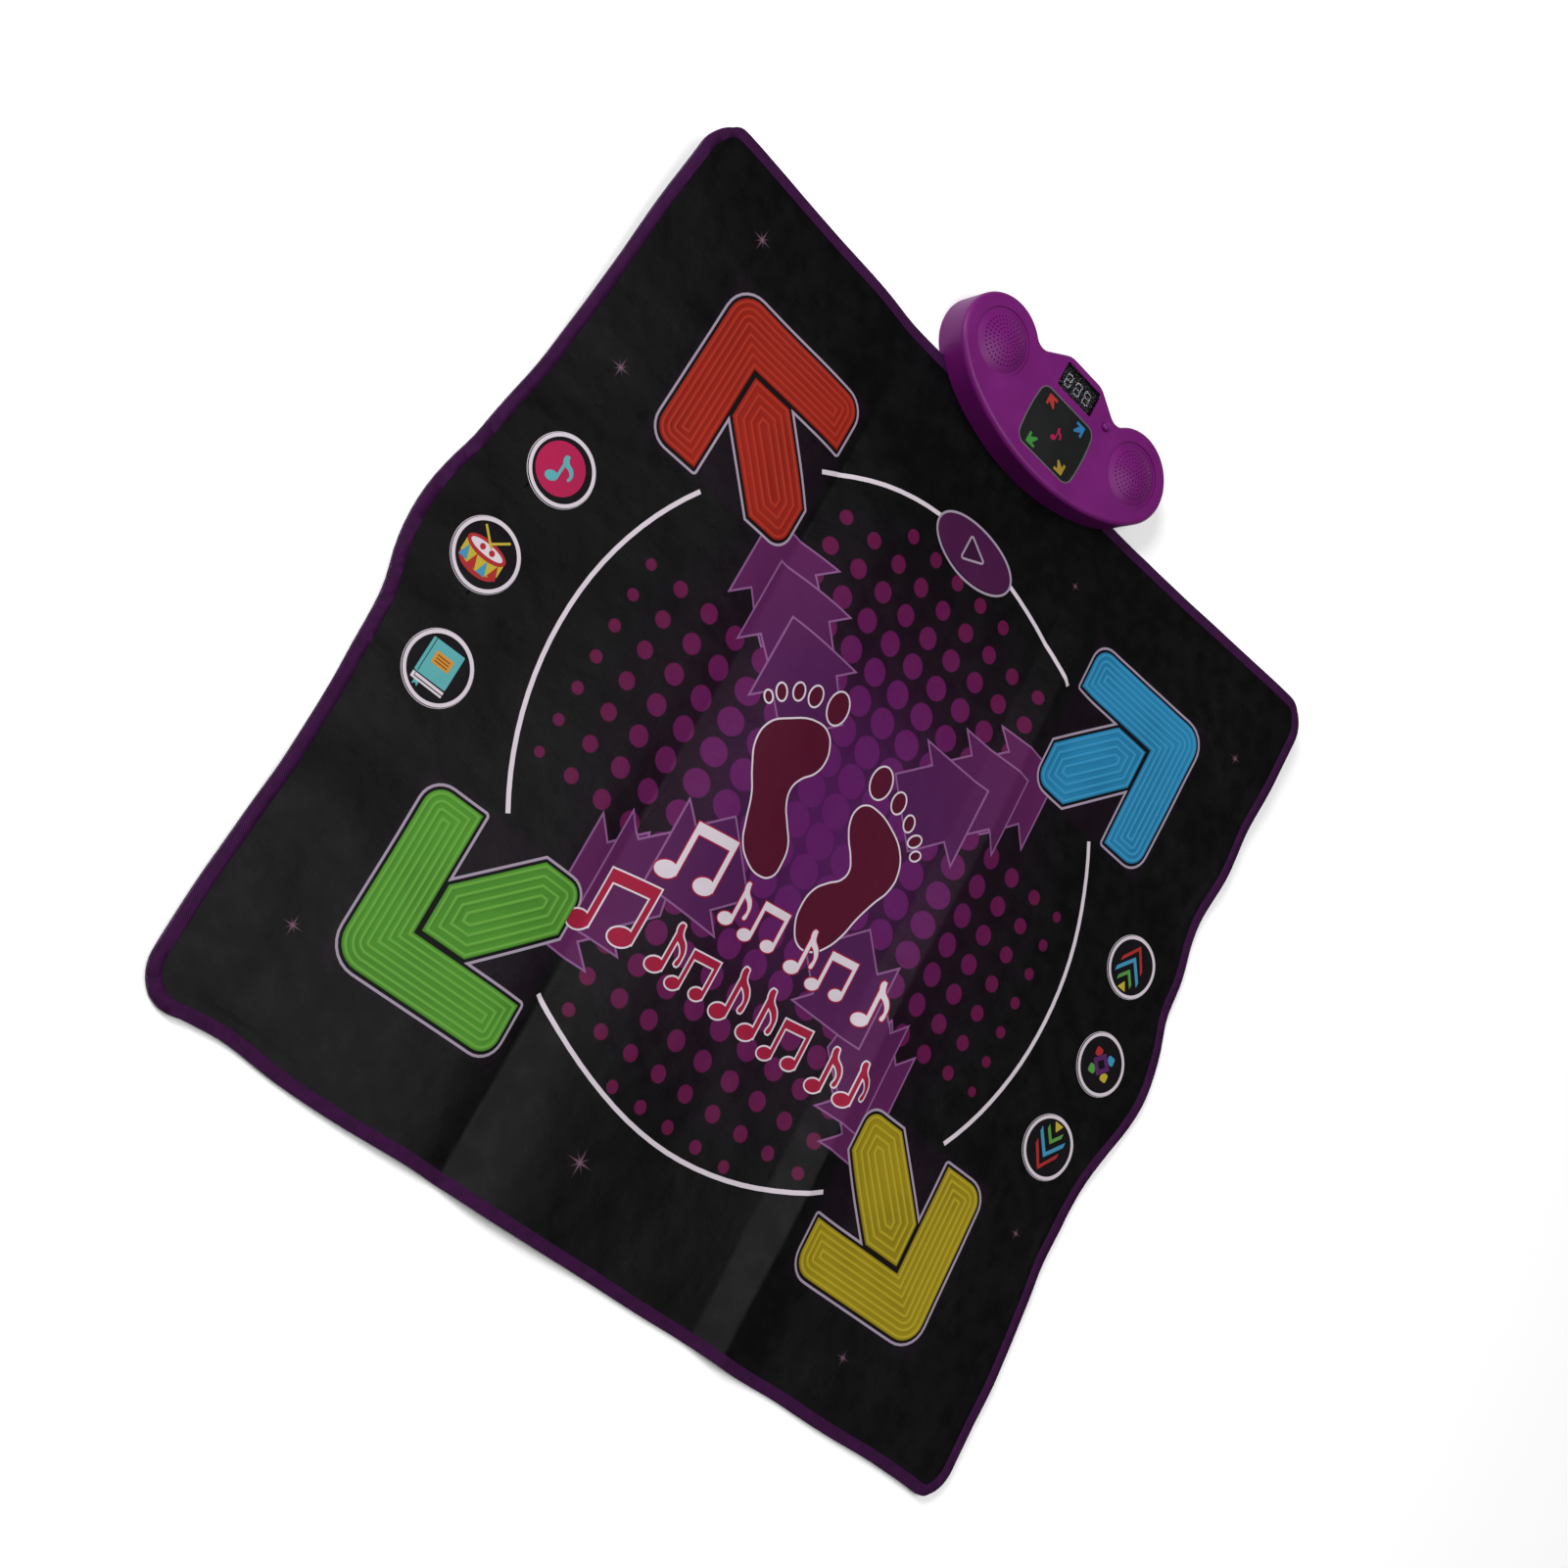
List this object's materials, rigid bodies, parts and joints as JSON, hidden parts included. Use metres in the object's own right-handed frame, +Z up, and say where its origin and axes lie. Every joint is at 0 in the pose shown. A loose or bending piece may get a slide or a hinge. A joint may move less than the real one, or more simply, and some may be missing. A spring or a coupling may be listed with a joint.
{
  "type": "dance mat game",
  "caption": "Folding dance mat with ribbed foam arrow pads, round icon pads and a clamped console with speakers, display, lamp panel and power button.",
  "frame": {"origin": "centre of the mat on the floor, on the underside of the base cloth", "axes": "+Z up, +Y from the mat's centre to the console, +X to the right of a player who faces the console"},
  "size_m": [0.978, 1.008, 0.045],
  "materials": {
    "console_purple": "satin",
    "printed_cloth": "satin",
    "grip_cloth": "matte",
    "foam": "matte",
    "contact_film": "matte",
    "purple_tape": "matte",
    "stiffener": "matte",
    "red_pad": "satin",
    "blue_pad": "satin",
    "green_pad": "satin",
    "yellow_pad": "satin",
    "start_print": "satin",
    "icon_print": "satin",
    "smoked_lens": "gloss",
    "display_black": "matte",
    "digit_grey": "matte",
    "panel_black": "satin",
    "panel_silver": "satin",
    "red_guide": "matte",
    "blue_guide": "matte",
    "green_guide": "matte",
    "yellow_guide": "matte",
    "circuit_green": "matte",
    "chip_black": "matte",
    "connector_white": "matte",
    "speaker_dark": "matte",
    "lead_black": "matte",
    "spring_steel": "matte",
    "screw_steel": "matte",
    "cell_jacket": "satin"
  },
  "bodies": {
    "root": {"console_top_shell": "console_purple", "console_bottom_shell": "console_purple", "speaker_grille_left": "console_purple", "speaker_grille_right": "console_purple", "top_sheet": "printed_cloth", "base_sheet": "grip_cloth", "spacer_foam": "foam", "foam_pad": "foam", "contact_film_lower": "contact_film", "contact_film_upper": "contact_film", "film_tail": "contact_film", "edge_binding": "purple_tape", "mounting_plate": "stiffener", "display_lens": "smoked_lens", "display_module": "display_black", "display_digits": "digit_grey", "arrow_panel": "panel_black", "panel_frame": "panel_silver", "main_board": "circuit_green", "control_chip": "chip_black", "power_switch": "chip_black", "tail_connector": "connector_white", "speaker_left": "speaker_dark", "speaker_right": "speaker_dark", "speaker_lead_left": "lead_black", "speaker_lead_right": "lead_black", "battery_contacts_left": "spring_steel", "battery_contacts_right": "spring_steel", "case_screws": "screw_steel", "mat_screws": "screw_steel", "board_screws": "screw_steel", "light_guide_red": "red_guide", "lamp_red": "red_guide", "light_guide_blue": "blue_guide", "lamp_blue": "blue_guide", "light_guide_green": "green_guide", "lamp_green": "green_guide", "light_guide_yellow": "yellow_guide", "lamp_yellow": "yellow_guide", "battery_cell_1": "cell_jacket", "battery_cell_2": "cell_jacket", "battery_cell_3": "cell_jacket"},
    "arrow_red": {"arrow_head_red": "red_pad", "arrow_shaft_red": "red_pad"},
    "arrow_blue": {"arrow_head_blue": "blue_pad", "arrow_shaft_blue": "blue_pad"},
    "arrow_green": {"arrow_head_green": "green_pad", "arrow_shaft_green": "green_pad"},
    "arrow_yellow": {"arrow_head_yellow": "yellow_pad", "arrow_shaft_yellow": "yellow_pad"},
    "start": {"start_pad": "start_print"},
    "icon_wing": {"icon_pad_wing": "icon_print"},
    "icon_drum": {"icon_pad_drum": "icon_print"},
    "icon_book": {"icon_pad_book": "icon_print"},
    "icon_faster": {"icon_pad_faster": "icon_print"},
    "icon_players": {"icon_pad_players": "icon_print"},
    "icon_slower": {"icon_pad_slower": "icon_print"},
    "power_button": {"power_button": "console_purple"},
    "battery_cover": {"battery_door": "console_purple", "door_screw": "screw_steel"}
  },
  "joints": [
    {"name": "arrow_red_press", "type": "slide", "parent": "root", "child": "arrow_red", "axis": [0, 0, 1], "range_m": [-0.0012, 0], "stiffness_N_per_m": 12000},
    {"name": "arrow_blue_press", "type": "slide", "parent": "root", "child": "arrow_blue", "axis": [0, 0, 1], "range_m": [-0.0012, 0], "stiffness_N_per_m": 12000},
    {"name": "arrow_green_press", "type": "slide", "parent": "root", "child": "arrow_green", "axis": [0, 0, 1], "range_m": [-0.0012, 0], "stiffness_N_per_m": 12000},
    {"name": "arrow_yellow_press", "type": "slide", "parent": "root", "child": "arrow_yellow", "axis": [0, 0, 1], "range_m": [-0.0012, 0], "stiffness_N_per_m": 12000},
    {"name": "start_press", "type": "slide", "parent": "root", "child": "start", "axis": [0, 0, 1], "range_m": [-0.0012, 0], "stiffness_N_per_m": 8000},
    {"name": "icon_wing_press", "type": "slide", "parent": "root", "child": "icon_wing", "axis": [0, 0, 1], "range_m": [-0.0012, 0], "stiffness_N_per_m": 6000},
    {"name": "icon_drum_press", "type": "slide", "parent": "root", "child": "icon_drum", "axis": [0, 0, 1], "range_m": [-0.0012, 0], "stiffness_N_per_m": 6000},
    {"name": "icon_book_press", "type": "slide", "parent": "root", "child": "icon_book", "axis": [0, 0, 1], "range_m": [-0.0012, 0], "stiffness_N_per_m": 6000},
    {"name": "icon_faster_press", "type": "slide", "parent": "root", "child": "icon_faster", "axis": [0, 0, 1], "range_m": [-0.0012, 0], "stiffness_N_per_m": 6000},
    {"name": "icon_players_press", "type": "slide", "parent": "root", "child": "icon_players", "axis": [0, 0, 1], "range_m": [-0.0012, 0], "stiffness_N_per_m": 6000},
    {"name": "icon_slower_press", "type": "slide", "parent": "root", "child": "icon_slower", "axis": [0, 0, 1], "range_m": [-0.0012, 0], "stiffness_N_per_m": 6000},
    {"name": "power_button_press", "type": "slide", "parent": "root", "child": "power_button", "axis": [0, 0, 1], "range_m": [-0.001, 0], "stiffness_N_per_m": 2000},
    {"name": "battery_cover_off", "type": "slide", "parent": "root", "child": "battery_cover", "axis": [0, 0, -1], "range_m": [0, 0.03]}
  ]
}
